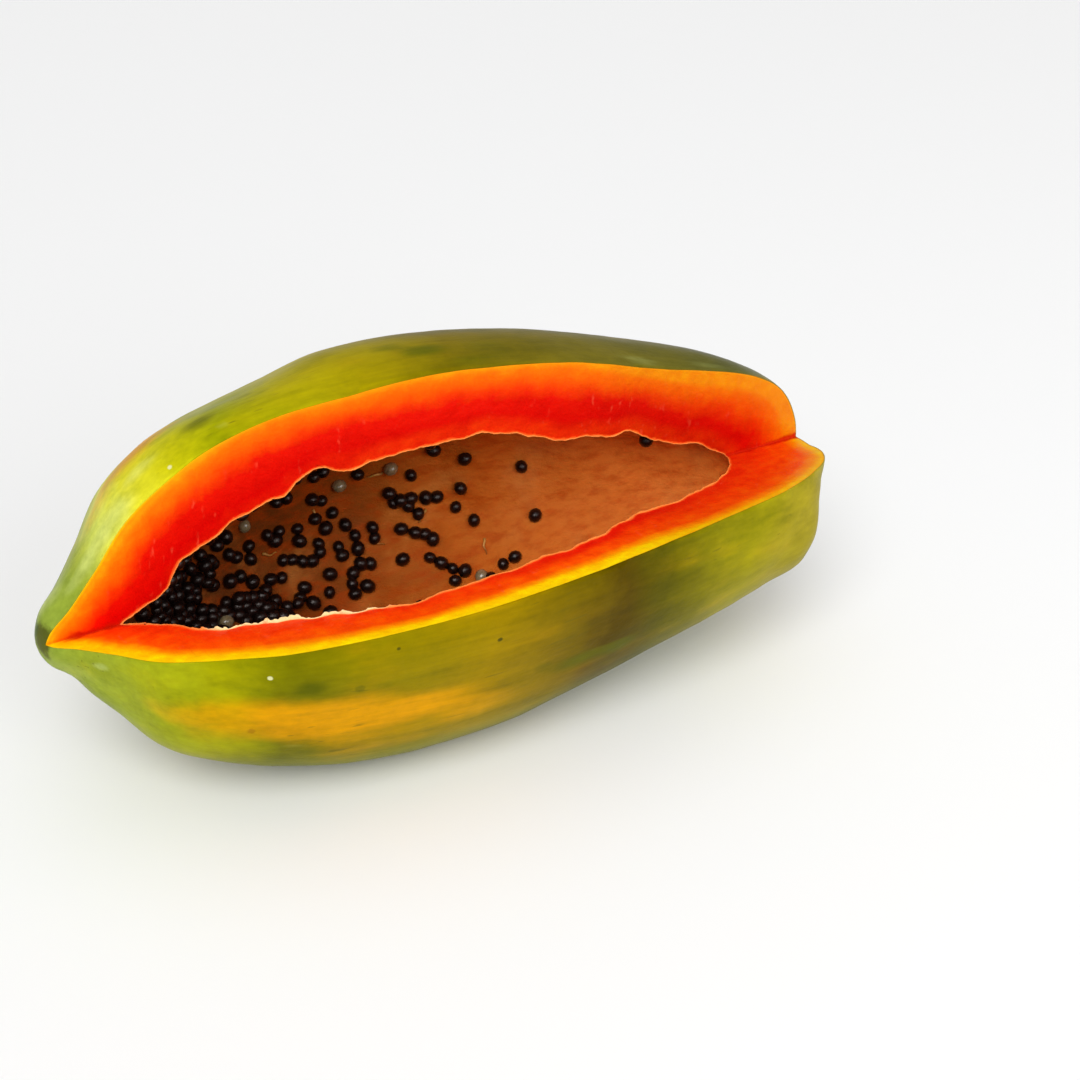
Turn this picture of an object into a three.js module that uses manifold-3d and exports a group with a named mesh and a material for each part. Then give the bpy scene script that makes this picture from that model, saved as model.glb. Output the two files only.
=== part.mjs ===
// A ripe papaya lying on its side, with a lengthwise wedge cut out so that the seed cavity lies open.
// Millimetres, +Z up. The fruit lies along X, blossom tip at -X and stem end at +X, and the wedge opens
// upwards and towards -Y. The origin is on the small flat spot that the fruit rests on.

import * as THREE from 'three';
import { mergeVertices } from 'three/addons/utils/BufferGeometryUtils.js';
import Module from 'manifold-3d';

const wasm = await Module();
wasm.setup();

// ---- Driving dimensions ----

const LENGTH = 314;                // blossom tip to stem end
const WIDEST = 77;                 // largest radius of the fruit
const CAVITY_WIDEST = 52;          // and of the hollow in it

// Outlines are [distance from the blossom tip, radius] pairs that a smooth curve runs through.
const FRUIT_OUTLINE = [
  [0, 0], [0.8, 4.5], [4, 11], [11, 18], [22, 31.5], [36, 49.5], [60, 63.5], [93, 73],
  [140, WIDEST], [186, 73], [245, 60], [285, 47.5], [302, 37], [311, 22.5], [LENGTH, 9], [313, 0],
];
const CAVITY_OUTLINE = [
  [24, 0], [29, 6], [42, 15], [54, 30], [74, 39], [104, 49], [135, CAVITY_WIDEST], [168, 48.5],
  [200, 40], [262, 22], [279, 12.5], [287, 0],
];
const HEIGHT_RATIO = 0.99;         // the fruit is a touch lower than it is wide
const BEND_BACK = 5.8;             // how far the middle of the axis bows towards +Y
const BEND_UP = 4.7;               // and upwards
const AXIS_START = -137;           // where the straight line from the tip to the stem end starts
const AXIS_HEIGHT = 67.9;          // and how high it lies, low enough for a small flat spot under the fruit

const RIDGES = 5;                  // a papaya is faintly five-sided
const RIDGE_DEPTH = 0.036;         // of the radius, over the swollen part
const RIDGE_FADE = [0.4, 0.8];     // of the length: the ridges flatten out from here to there
const RIDGE_TURN = 18;             // degrees, angle of the first ridge from -Y towards +Z

// No fruit is quite regular: soft swells and dents, [along, degrees round, the two reaches, height].
const SWELLS = [
  [75, 72, 45, 32, 2.8], [84, 106, 36, 32, -3.2], [300, -28, 24, 34, 3], [48, 6, 26, 30, -2],
  [6, -70, 10, 70, -2.4], [200, -20, 60, 40, -1.3], [60, -60, 40, 34, -1.1], [250, 60, 50, 40, -3],
];
const SWELL_CORE = 0.15;           // of the reach: full height up to here

const CAVITY_FORWARD = 6.5;        // the cavity's middle, from the fruit's axis, towards -Y
const CAVITY_DOWN = 3;
const WAVES_FROM = 20;             // radius from which swells and the lining's waves have their full height
const WALL_WAVES = [               // [height, waves along the fruit, waves around it, start]
  [0.9, 5, 2, 0.4], [0.7, 8, -3, 2.1], [0.5, 3, 4, 1.2],
];

const FRONT_CUT = 8.4;             // degrees from -Y towards +Z, the lower side of the wedge
const REAR_CUT = 82.5;             // the upper side
const CREASE_AT_TIP = [7.4, 3.1];  // where the two cuts meet, from the straight axis: forward and up
const CREASE_AT_STEM = [-1, 11.3];
const CUT_REACH = 140;             // how far the wedge runs out past the skin

const SEED_HALF = [2.6, 2.3, 2.3];    // half length, half width and half height
const SEED_SIZES = [0.88, 1.12];      // smallest and largest, of the mean
const SEED_SINK = 0.4;                // of the half height, how deep a seed sits in the lining
const SEED_COUNT = 160;
const SEED_ROOM = 4.3;                // between the middles of two neighbours
const SEED_MARGIN = 2.4;              // from a seed's middle to the nearest cut
const SEED_FIRST_DRAW = 4711;
const SEED_FIELD = [34, 262];         // the scatter starts and ends here, along the fruit
const SEED_AROUND = [60, 390];        // and here around it, in degrees
const SEED_CROWD = [                  // [along, share of the scattered seeds that stay there]
  [34, 1], [78, 1], [104, 0.42], [150, 0.3], [190, 0.06], [262, 0.02],
];
const CLUMP_DEPTH = 0.8;              // how much thicker a clump is than the mean
const CLUMP_WAVES = [                 // [per millimetre along, per degree around]
  [0.11, 0.035], [-0.07, 0.052],
];
const BACK_WALL = [140, 240];         // degrees: past the crowd, only the rows lie on the back wall
const BACK_WALL_START = 150;
const ROW_UNEVEN = 2;                 // degrees, and half as many millimetres
// Loose rows and single seeds on the back wall, from [along, degrees] to [along, degrees] by number.
const SEED_ROWS = [
  [153, 187, 172, 190, 5], [178, 194, 178, 194, 1], [156, 203, 166, 208, 3], [176, 228, 181, 229, 2],
  [172, 234, 184, 236, 3], [163, 196, 163, 196, 1], [160, 172, 160, 172, 1], [183, 167, 182, 184, 2],
  [206, 175, 208, 206, 2], [185, 203, 185, 203, 1], [153, 215, 167, 220, 2], [197, 230, 197, 230, 1],
];

const WELD = 1e-4;                    // corners closer than this are one
const FRUIT_STEPS = [42, 38];         // facets along and around
const CAVITY_STEPS = [32, 32];
const FINE_STEPS = 400;               // for reading the cavity's radius off its outline
const SMALL_STEP = 0.5;               // millimetres or degrees, for the lie of the lining at a seed

// ---- Helpers ----

const radians = THREE.MathUtils.degToRad;

// A repeatable stream of numbers between 0 and 1.
function randomStream(start) {
  let state = start;
  return () => {
    state = (state * 16807) % 2147483647;
    return state / 2147483647;
  };
}

// A smooth outline through the named points, stepped closer together near both ends.
function smoothOutline(corners, steps) {
  const points = corners.map(([along, out]) => new THREE.Vector3(along, out, 0));
  const curve = new THREE.CatmullRomCurve3(points, false, 'centripetal');
  const outline = [];
  for (let i = 0; i <= steps; i += 1) {
    const even = i / steps;
    const eased = (1 - Math.cos(Math.PI * even)) / 2;
    outline.push(curve.getPointAt((even + eased) / 2));
  }
  return outline;
}

// The fruit's bent axis at a distance from the tip, as [X, Y, Z].
function axisAt(along) {
  const share = along / LENGTH;
  const bow = 4 * share * (1 - share);
  return [AXIS_START + along, BEND_BACK * bow, AXIS_HEIGHT + BEND_UP * bow];
}

// A point round the axis: angle 0 faces -Y, a quarter turn faces up.
function pointRound(along, angle, forward, up, radius, squash) {
  const [x, y, z] = axisAt(along);
  return new THREE.Vector3(
    x,
    y - forward - radius * Math.cos(angle),
    z + up + radius * squash * Math.sin(angle),
  );
}

// The height of the swells and dents at a place on the skin.
function swellAt(along, angle) {
  let sum = 0;
  for (const [place, around, reach, reachAround, height] of SWELLS) {
    const degrees = THREE.MathUtils.radToDeg(angle) - around + 180;
    const turned = THREE.MathUtils.euclideanModulo(degrees, 360) - 180;
    const far = Math.hypot((along - place) / reach, turned / reachAround);
    sum += height * (1 - THREE.MathUtils.smoothstep(far, SWELL_CORE, 1));
  }
  return sum;
}

function skinPoint(along, angle, radius) {
  const swollen = radius + swellAt(along, angle) * Math.min(1, radius / WAVES_FROM);
  const fade = 1 - THREE.MathUtils.smoothstep(along / LENGTH, ...RIDGE_FADE);
  const ridge = 1 + RIDGE_DEPTH * fade * Math.cos(RIDGES * (angle - radians(RIDGE_TURN)));
  return pointRound(along, angle, 0, 0, swollen * ridge, HEIGHT_RATIO);
}

function liningPoint(along, angle, radius) {
  const share = along / LENGTH;
  let wave = 0;
  for (const [height, lengthwise, around, start] of WALL_WAVES) {
    wave += height * Math.sin(2 * Math.PI * lengthwise * share + around * angle + start);
  }
  const ease = Math.min(1, radius / WAVES_FROM);
  return pointRound(along, angle, CAVITY_FORWARD, -CAVITY_DOWN, radius + wave * ease, 1);
}

// A closed three.js geometry as a manifold solid.
function solidFrom(geometry) {
  const bare = geometry.clone();
  bare.deleteAttribute('normal');
  bare.deleteAttribute('uv');
  const merged = mergeVertices(bare, WELD);
  const corners = merged.index.array;
  const kept = [];
  for (let i = 0; i < corners.length; i += 3) {
    const [a, b, c] = [corners[i], corners[i + 1], corners[i + 2]];
    if (a !== b && b !== c && c !== a) kept.push(a, b, c);
  }
  return new wasm.Manifold(new wasm.Mesh({
    numProp: 3,
    vertProperties: new Float32Array(merged.attributes.position.array),
    triVerts: new Uint32Array(kept),
  }));
}

// Spins an outline and sets each of its points with placePoint(along, angle, radius).
// The outline runs from the stem end to the tip, which turns the faces outwards.
function spunSolid(outline, around, placePoint) {
  const profile = outline.map((point) => new THREE.Vector2(Math.max(point.y, 0), point.x)).reverse();
  const geometry = new THREE.LatheGeometry(profile, around);
  const position = geometry.attributes.position;
  for (let i = 0; i < position.count; i += 1) {
    const radius = Math.hypot(position.getX(i), position.getZ(i));
    const angle = Math.atan2(position.getX(i), position.getZ(i));
    const placed = placePoint(position.getY(i), angle, radius);
    position.setXYZ(i, placed.x, placed.y, placed.z);
  }
  return solidFrom(geometry);
}

// ---- The fruit, its cavity and the cuts ----

function wholeFruit() {
  return spunSolid(smoothOutline(FRUIT_OUTLINE, FRUIT_STEPS[0]), FRUIT_STEPS[1], skinPoint);
}

function cavity() {
  return spunSolid(smoothOutline(CAVITY_OUTLINE, CAVITY_STEPS[0]), CAVITY_STEPS[1], liningPoint);
}

// The wedge between the two knife cuts, with its thin edge along the crease.
function cutWedge() {
  const straightAxis = (along, [forward, up]) => new THREE.Vector3(
    AXIS_START + along,
    -forward,
    AXIS_HEIGHT + up,
  );
  const stem = straightAxis(LENGTH, CREASE_AT_STEM);
  const tip = straightAxis(0, CREASE_AT_TIP);
  const crease = tip.clone().sub(stem).normalize();
  const up = new THREE.Vector3(0, 0, 1);
  up.addScaledVector(crease, -up.dot(crease)).normalize();
  const forward = new THREE.Vector3().crossVectors(up, crease);

  const shape = new THREE.Shape();
  shape.moveTo(0, 0);
  for (const degrees of [FRONT_CUT, (FRONT_CUT + REAR_CUT) / 2, REAR_CUT]) {
    shape.lineTo(CUT_REACH * Math.cos(radians(degrees)), CUT_REACH * Math.sin(radians(degrees)));
  }
  shape.closePath();
  const overrun = 30;
  const geometry = new THREE.ExtrudeGeometry(shape, {
    depth: LENGTH + 2 * overrun,
    bevelEnabled: false,
  });
  geometry.translate(0, 0, -overrun);
  const frame = new THREE.Matrix4().makeBasis(forward, up, crease).setPosition(stem);
  geometry.applyMatrix4(frame);
  return solidFrom(geometry);
}

function tableBlock() {
  const geometry = new THREE.BoxGeometry(2 * LENGTH, LENGTH, 40);
  geometry.translate(0, 0, -20);
  return solidFrom(geometry);
}

// ---- The seeds ----

const liningOutline = smoothOutline(CAVITY_OUTLINE, FINE_STEPS);

function liningRadius(along) {
  const next = liningOutline.findIndex((point) => point.x > along);
  const [before, after] = [liningOutline[next - 1], liningOutline[next]];
  return THREE.MathUtils.mapLinear(along, before.x, after.x, before.y, after.y);
}

function onLining(along, degrees) {
  return liningPoint(along, radians(degrees), liningRadius(along));
}

// How far behind the nearer knife cut a point lies; below zero it is in the open wedge.
function depthBehindCuts(point) {
  const share = (point.x - AXIS_START) / LENGTH;
  const forward = -point.y - THREE.MathUtils.lerp(CREASE_AT_TIP[0], CREASE_AT_STEM[0], share);
  const up = point.z - AXIS_HEIGHT - THREE.MathUtils.lerp(CREASE_AT_TIP[1], CREASE_AT_STEM[1], share);
  const pastRear = up * Math.cos(radians(REAR_CUT)) - forward * Math.sin(radians(REAR_CUT));
  const pastFront = forward * Math.sin(radians(FRONT_CUT)) - up * Math.cos(radians(FRONT_CUT));
  return Math.max(pastRear, pastFront);
}

// The share of scattered seeds kept at a place: crowded at the tip, in loose clumps further on.
function crowdAt(along, degrees) {
  if (along > BACK_WALL_START && degrees > BACK_WALL[0] && degrees < BACK_WALL[1]) return 0;
  const next = Math.max(1, SEED_CROWD.findIndex(([place]) => place >= along));
  const [[from, less], [to, more]] = [SEED_CROWD[next - 1], SEED_CROWD[next]];
  const crowd = THREE.MathUtils.mapLinear(along, from, to, less, more);
  const waves = CLUMP_WAVES.map(([lengthwise, around]) => Math.sin(lengthwise * along + around * degrees));
  return crowd * (1 + CLUMP_DEPTH * waves[0] * waves[1]);
}

// Seed places on the lining. The rows come first, then the scatter, always in the same order.
function seedPlaces(count) {
  const random = randomStream(SEED_FIRST_DRAW);
  const places = [];
  const place = (along, degrees) => {
    const point = onLining(along, degrees);
    const free = places.every((other) => other.point.distanceTo(point) > SEED_ROOM);
    if (free && depthBehindCuts(point) > SEED_MARGIN) {
      const size = THREE.MathUtils.lerp(SEED_SIZES[0], SEED_SIZES[1], random());
      places.push({ along, degrees, point, size, turn: random() * Math.PI });
    }
  };
  for (const [along, degrees, toAlong, toDegrees, number] of SEED_ROWS) {
    for (let i = 0; i < number; i += 1) {
      const share = i / Math.max(number - 1, 1);
      const uneven = ROW_UNEVEN * Math.sin(7 * along + 5 * i);
      const here = THREE.MathUtils.lerp(along, toAlong, share) + uneven / 2;
      place(here, THREE.MathUtils.lerp(degrees, toDegrees, share) + uneven);
    }
  }
  while (places.length < count) {
    const along = THREE.MathUtils.lerp(SEED_FIELD[0], SEED_FIELD[1], random());
    const degrees = THREE.MathUtils.lerp(SEED_AROUND[0], SEED_AROUND[1], random());
    const roominess = liningRadius(along) / CAVITY_WIDEST;
    if (random() < crowdAt(along, degrees) * roominess) place(along, degrees);
  }
  return places;
}

// One seed as a low-sided oval, lying on the lining with its long side turned in the wall.
function seedSolid({ along, degrees, point, turn, size }) {
  const lengthwise = onLining(along + SMALL_STEP, degrees).sub(point).normalize();
  const around = onLining(along, degrees + SMALL_STEP).sub(point);
  const inwards = new THREE.Vector3().crossVectors(around, lengthwise).normalize();
  const across = new THREE.Vector3().crossVectors(inwards, lengthwise);
  const frame = new THREE.Matrix4().makeBasis(lengthwise, across, inwards);
  const [halfLength, halfWidth, halfHeight] = SEED_HALF.map((half) => half * size);
  frame.setPosition(point.clone().addScaledVector(inwards, halfHeight * (1 - SEED_SINK)));
  const geometry = new THREE.IcosahedronGeometry(1, 0);
  geometry.scale(halfLength, halfWidth, halfHeight).rotateZ(turn).applyMatrix4(frame);
  return solidFrom(geometry);
}

function papayaSolid() {
  const fruit = wholeFruit().subtract(tableBlock()).subtract(cavity()).subtract(cutWedge());
  return seedPlaces(SEED_COUNT).reduce((solid, place) => solid.add(seedSolid(place)), fruit);
}

// ---- The part ----

function meshFrom(solid, name, material) {
  const { numProp, vertProperties, triVerts } = solid.getMesh();
  const positions = new Float32Array((vertProperties.length / numProp) * 3);
  for (let i = 0; i < positions.length / 3; i += 1) {
    for (let j = 0; j < 3; j += 1) positions[3 * i + j] = vertProperties[numProp * i + j];
  }
  const geometry = new THREE.BufferGeometry();
  geometry.setAttribute('position', new THREE.BufferAttribute(positions, 3));
  geometry.setIndex(new THREE.BufferAttribute(new Uint32Array(triVerts), 1));
  geometry.computeVertexNormals();
  const mesh = new THREE.Mesh(geometry, material);
  mesh.name = name;
  return mesh;
}

const flesh = new THREE.MeshStandardMaterial({ color: 0xf0641a, roughness: 0.45, metalness: 0 });

const papaya = new THREE.Group();
papaya.add(meshFrom(papayaSolid(), 'papaya_half', flesh));

export default papaya;
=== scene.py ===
# %% [markdown]
# # A ripe papaya with a wedge cut out
#
# The fruit lies on its side. Two lengthwise knife cuts meet in a crease near its middle line, and between
# them the hollow with its seeds lies open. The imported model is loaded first: it says where everything is,
# in metres, so each new piece is made straight in its place.

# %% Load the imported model
import math
from bisect import bisect_right
from functools import reduce

import bmesh
import bpy
from mathutils import Matrix, Vector, noise
from mathutils.bvhtree import BVHTree


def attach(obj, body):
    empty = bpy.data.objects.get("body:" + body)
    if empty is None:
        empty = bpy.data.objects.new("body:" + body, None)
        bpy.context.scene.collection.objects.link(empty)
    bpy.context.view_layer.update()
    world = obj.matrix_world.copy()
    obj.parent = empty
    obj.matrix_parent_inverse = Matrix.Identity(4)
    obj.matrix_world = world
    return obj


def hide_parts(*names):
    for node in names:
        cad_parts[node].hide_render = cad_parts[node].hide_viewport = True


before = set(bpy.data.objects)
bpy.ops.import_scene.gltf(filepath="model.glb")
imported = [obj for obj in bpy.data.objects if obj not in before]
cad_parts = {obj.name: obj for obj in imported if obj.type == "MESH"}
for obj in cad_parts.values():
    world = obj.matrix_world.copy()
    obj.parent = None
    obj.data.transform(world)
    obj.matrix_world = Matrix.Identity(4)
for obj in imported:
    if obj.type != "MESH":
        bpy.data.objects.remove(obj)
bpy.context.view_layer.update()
scene = bpy.context.scene

# %% [markdown]
# ## The camera
#
# The fruit is seen from the front and a little from the tip's side, from 31 degrees above the table. A long
# lens far away keeps the two ends in proportion. The camera is placed by the point that it looks past, the
# two angles and the distance, which is easier to change than a position and a rotation.

# %% Place the camera
MM = 0.001


def add_object(name, data):
    """Blender keeps a thing's data and its place apart: an object gives the data a place in the scene."""
    made = bpy.data.objects.new(name, data)
    scene.collection.objects.link(made)
    return made


LOOK_FROM = (25.5, 30.7)  # degrees: turned towards the stem end, and down
LOOK_PAST = Vector((18, 0, 67.9))  # the middle of the fruit's axis, millimetres
CAMERA_FAR = 693
CAMERA_ASIDE = (37.3, 2.35)  # to the right and up, so that the fruit sits left in the picture
SENSOR = 36
FOCAL = 60.23

turn, down = (math.radians(angle) for angle in LOOK_FROM)
sight = Vector((math.sin(turn) * math.cos(down), math.cos(turn) * math.cos(down), -math.sin(down)))
aside = Vector((math.cos(turn), -math.sin(turn), 0))
above = aside.cross(sight)
lens = bpy.data.cameras.new("camera")
lens.lens, lens.sensor_width = FOCAL, SENSOR
lens.clip_start, lens.clip_end = 0.05, 20
camera = add_object("camera", lens)
place = LOOK_PAST - sight * CAMERA_FAR + aside * CAMERA_ASIDE[0] + above * CAMERA_ASIDE[1]
camera.matrix_world = Matrix.Translation(place * MM) @ Matrix((aside, above, -sight)).transposed().to_4x4()
scene.camera = camera
print("camera at", [round(x, 3) for x in camera.location])

# %% [markdown]
# ## Light and table
#
# Cut fruit looks fresh in broad soft light: a wide sun from the upper left for the whole table, a weak one
# from above for the lower cut face, a large lamp in front that fills the hollow, and a pale room all round.

# %% Light the scene
LIGHT_AT = Vector((0, 0, 0.06))  # what the lamps point at, metres


def light(name, kind, at, energy, **settings):
    data = bpy.data.lights.new(name, kind)
    data.energy = energy
    for setting, value in settings.items():
        setattr(data, setting, value)
    lamp = add_object(name, data)
    lamp.location = at
    lamp.rotation_euler = (LIGHT_AT - Vector(at)).to_track_quat("-Z", "Y").to_euler()


light("wide_sun", "SUN", (-0.8, -1.1, 1.5), 2.0, angle=math.radians(40))
light("high_sun", "SUN", (0.2, 0.1, 2), 0.35, angle=math.radians(60))
light("front_lamp", "AREA", (0.35, -1.5, 0.8), 9, shape="DISK", size=1.1)
room = bpy.data.worlds.new("pale_room")
room.use_nodes = True
walls = room.node_tree.nodes["Background"].inputs
walls["Color"].default_value, walls["Strength"].default_value = (1, 1, 1, 1), 0.4
scene.world = room
scene.view_settings.view_transform = "Standard"

# %% [markdown]
# ## Smooth outlines
#
# Both the fruit and its hollow are turned shapes: an outline that runs from the tip to the stem end, spun
# round the long axis. A handful of named points gives each outline, and a smooth curve runs through them.
# The curve leaves each point in the direction of its neighbours, and the stretch between two points is a
# Bezier curve with two handles, the same kind that Blender's own curves are made of.

# %% Name the shape
LENGTH = 314
FRUIT_OUTLINE = [
    (0, 0), (0.8, 4.5), (4, 11), (11, 18), (22, 31.5), (36, 49.5), (60, 63.5), (93, 73),
    (140, 77), (186, 73), (245, 60), (285, 47.5), (302, 37), (311, 22.5), (314, 9), (313, 0),
]
CAVITY_WIDEST = 52
CAVITY_OUTLINE = [
    (24, 0), (29, 6), (42, 15), (54, 30), (74, 39), (104, 49), (135, CAVITY_WIDEST), (168, 48.5),
    (200, 40), (262, 22), (279, 12.5), (287, 0),
]
HEIGHT_RATIO = 0.99  # the fruit is a little flatter than it is wide
BEND_BACK, BEND_UP = 5.8, 4.7  # how far its axis bows
AXIS_START, AXIS_HEIGHT = -137, 67.9  # where the axis starts at the tip
RIDGES, RIDGE_DEPTH, RIDGE_FADE, RIDGE_TURN = 5, 0.036, (0.4, 0.8), 18
SWELLS = [  # along, degrees round, the two reaches and the height in millimetres
    (75, 72, 45, 32, 2.8), (84, 106, 36, 32, -3.2), (300, -28, 24, 34, 3), (48, 6, 26, 30, -2),
    (6, -70, 10, 70, -2.4), (200, -20, 60, 40, -1.3), (60, -60, 40, 34, -1.1), (250, 60, 50, 40, -3),
]
CAVITY_FORWARD, CAVITY_DOWN, WAVES_FROM = 6.5, 3, 20
WALL_WAVES = [(0.9, 5, 2, 0.4), (0.7, 8, -3, 2.1), (0.5, 3, 4, 1.2)]


def handles(before, start, end, after):
    """The two Bezier handles between start and end, for points that are unevenly far apart."""
    first, middle, last = (
        math.sqrt((b - a).length) for a, b in ((before, start), (start, end), (end, after)))
    leave = (start - before) / first - (end - before) / (first + middle) + (end - start) / middle
    arrive = (end - start) / middle - (after - start) / (middle + last) + (after - end) / last
    return start + leave * middle / 3, end - arrive * middle / 3


def bezier(start, first, second, end, count):
    """Points on a Bezier curve at even steps, the last one left out."""
    line = []
    for i in range(count):
        t = i / count
        ease = (1 - t) ** 3, 3 * t * (1 - t) ** 2, 3 * t * t * (1 - t), t ** 3
        line.append(start * ease[0] + first * ease[1] + second * ease[2] + end * ease[3])
    return line


FINE = 400  # points on the curve from one named point to the next


def smooth_line(corners):
    points = [Vector((along, out, 0)) for along, out in corners]
    points = [2 * points[0] - points[1], *points, 2 * points[-1] - points[-2]]
    line = []
    for before, start, end, after in zip(points, points[1:], points[2:], points[3:]):
        line += bezier(start, *handles(before, start, end, after), end, FINE)
    return line + [points[-2]]


LENGTH_STEPS = 200  # straight pieces that the line's length is measured by


def smooth_outline(corners, steps):
    """Points along the smooth line, evenly spaced but drawn closer together near both ends."""
    line = smooth_line(corners)
    stride = (len(line) - 1) // LENGTH_STEPS
    coarse = line[::stride]
    reach = [0]
    for a, b in zip(coarse, coarse[1:]):
        reach.append(reach[-1] + (b - a).length)
    outline, at = [], 0
    for i in range(steps + 1):
        even = i / steps
        eased = (1 - math.cos(math.pi * even)) / 2
        wanted = (even + eased) / 2 * reach[-1]
        while at < LENGTH_STEPS - 1 and reach[at + 1] < wanted:
            at += 1
        exact = (at + (wanted - reach[at]) / (reach[at + 1] - reach[at])) * stride
        low = min(int(exact), len(line) - 2)
        outline.append(line[low].lerp(line[low + 1], exact - low))
    return outline


def value_at(line, along):
    """The second number of a line's points, such as an outline's radius, at a distance along the fruit."""
    after = max(1, bisect_right(line, along, hi=len(line) - 1, key=lambda point: point[0]))
    (start, first, *_), (end, second, *_) = line[after - 1], line[after]
    return first + (second - first) * (along - start) / (end - start)


skin_line = smooth_outline(FRUIT_OUTLINE, FINE)
print("widest radius of the skin:", round(max(point.y for point in skin_line), 2))

# %% [markdown]
# ## From the outline to the fruit
#
# A real papaya is no perfect spindle. Its axis bows a little, it is faintly five-sided, and its hollow sits
# closer to the cut. Soft swells and dents make it uneven. So each point of the spun shape is moved to its
# true place by its distance along the fruit and its angle round it. Angle 0 faces the front and a quarter
# turn faces up.

# %% Place a point of the skin or of the hollow
PATCH_CORE = 0.15  # the share of a soft patch that is covered in full


def smooth_step(value, start, end):
    x = min(max((value - start) / (end - start), 0), 1)
    return x * x * (3 - 2 * x)


def soft_patch(along, degrees, patches):
    """How strongly soft oval patches on the fruit cover a place, from 0 to 1."""
    cover = 0
    for at, around, reach, reach_around, strength in patches:
        turned = (degrees - around + 180) % 360 - 180
        far = math.hypot((along - at) / reach, turned / reach_around)
        cover += (1 - cover) * strength * (1 - smooth_step(far, PATCH_CORE, 1))
    return cover


def swell_at(along, angle, swells):
    return sum(height * soft_patch(along, math.degrees(angle), [(*place, 1)]) for *place, height in swells)


def along_of(point):
    """A point's distance along the fruit, from the tip."""
    return point.x - AXIS_START


def axis_at(along):
    share = along / LENGTH
    bow = 4 * share * (1 - share)
    return Vector((AXIS_START + along, BEND_BACK * bow, AXIS_HEIGHT + BEND_UP * bow))


def point_round(along, angle, forward, up, radius, squash):
    return axis_at(along) + Vector((
        0, -forward - radius * math.cos(angle), up + radius * squash * math.sin(angle)))


def skin_point(along, angle, radius):
    swollen = radius + swell_at(along, angle, SWELLS) * min(1, radius / WAVES_FROM)
    fade = 1 - smooth_step(along / LENGTH, *RIDGE_FADE)
    ridge = 1 + RIDGE_DEPTH * fade * math.cos(RIDGES * (angle - math.radians(RIDGE_TURN)))
    return point_round(along, angle, 0, 0, swollen * ridge, HEIGHT_RATIO)


def lining_point(along, angle, radius):
    share = along / LENGTH
    wave = sum(
        height * math.sin(2 * math.pi * lengthwise * share + around * angle + start)
        for height, lengthwise, around, start in WALL_WAVES
    )
    return point_round(
        along, angle, CAVITY_FORWARD, -CAVITY_DOWN, radius + wave * min(1, radius / WAVES_FROM), 1)


# %% [markdown]
# ## The two knife cuts
#
# The cuts are two planes that meet in the crease. A point lies in the flesh when it is behind either plane,
# and in the open wedge when it is in front of both, so the larger of the two distances tells which.

# %% Name the cuts
FRONT_CUT, REAR_CUT = math.radians(8.4), math.radians(82.5)
CREASE_AT_TIP, CREASE_AT_STEM = (7.4, 3.1), (-1, 11.3)


def crease_at(along):
    share = along / LENGTH
    forward, up = (a + (b - a) * share for a, b in zip(CREASE_AT_TIP, CREASE_AT_STEM))
    return Vector((AXIS_START + along, -forward, AXIS_HEIGHT + up))


def depth_behind_cuts(point):
    """How far behind the nearer cut a point lies, in millimetres. Below zero it is in the open wedge."""
    crease = crease_at(along_of(point))
    forward, up = crease.y - point.y, point.z - crease.z
    past_rear = up * math.cos(REAR_CUT) - forward * math.sin(REAR_CUT)
    past_front = forward * math.sin(FRONT_CUT) - up * math.cos(FRONT_CUT)
    return max(past_rear, past_front)


crease_line = (crease_at(0) - crease_at(LENGTH)).normalized()
crease_up = Vector((0, 0, 1))
crease_up = (crease_up - crease_line * crease_up.dot(crease_line)).normalized()
crease_forward = crease_up.cross(crease_line)


def cut_normal(angle, inwards):
    """The normal of a cut, on the side that inwards points to."""
    outwards = crease_forward * math.cos(angle) + crease_up * math.sin(angle)
    normal = crease_line.cross(outwards)
    return normal if normal.dot(inwards) > 0 else -normal


rear_normal = cut_normal(REAR_CUT, Vector((0, 1, 0)))
front_normal = cut_normal(FRONT_CUT, Vector((0, 0, -1)))
CUTS = (rear_normal, front_normal)
print("normals into the flesh:", *CUTS)

# %% [markdown]
# ## Spinning the shells
#
# `bmesh.ops.spin` turns the outline once round the X axis and joins the last ring to the first. The points
# on the axis are spun as well, so the doubles at both poles are merged. Only then is each point moved to its
# true place and the shell's normals recalculated, so that the faces look outwards.

# %% Spin the skin and the hollow
SAME_PLACE = 1e-4  # millimetres, below which two points are one


def spun_shell(outline, around, place_point):
    shell = bmesh.new()
    corners = [shell.verts.new((point.x, 0, point.y)) for point in outline]
    edges = [shell.edges.new(pair) for pair in zip(corners, corners[1:])]
    bmesh.ops.spin(
        shell, geom=corners + edges, axis=(1, 0, 0), cent=(0, 0, 0), angle=math.tau, steps=around,
        use_merge=True)
    bmesh.ops.remove_doubles(shell, verts=shell.verts, dist=SAME_PLACE)
    for corner in shell.verts:
        along, y, z = corner.co
        corner.co = place_point(along, math.atan2(z, -y), math.hypot(y, z))
    bmesh.ops.recalc_face_normals(shell, faces=shell.faces)
    return shell


SKIN_LUMPS = [(0.35, 26), (0.16, 9)]  # height and size of the skin's soft unevenness, millimetres
LINING_LUMPS = [(1.1, 15), (0.6, 5.5)]  # the wall of the hollow is rougher
TORN_LUMPS, TORN_REACH = [(2.2, 10), (0.9, 4)], 9  # and most of all by the knife cuts, where it is torn
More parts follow.
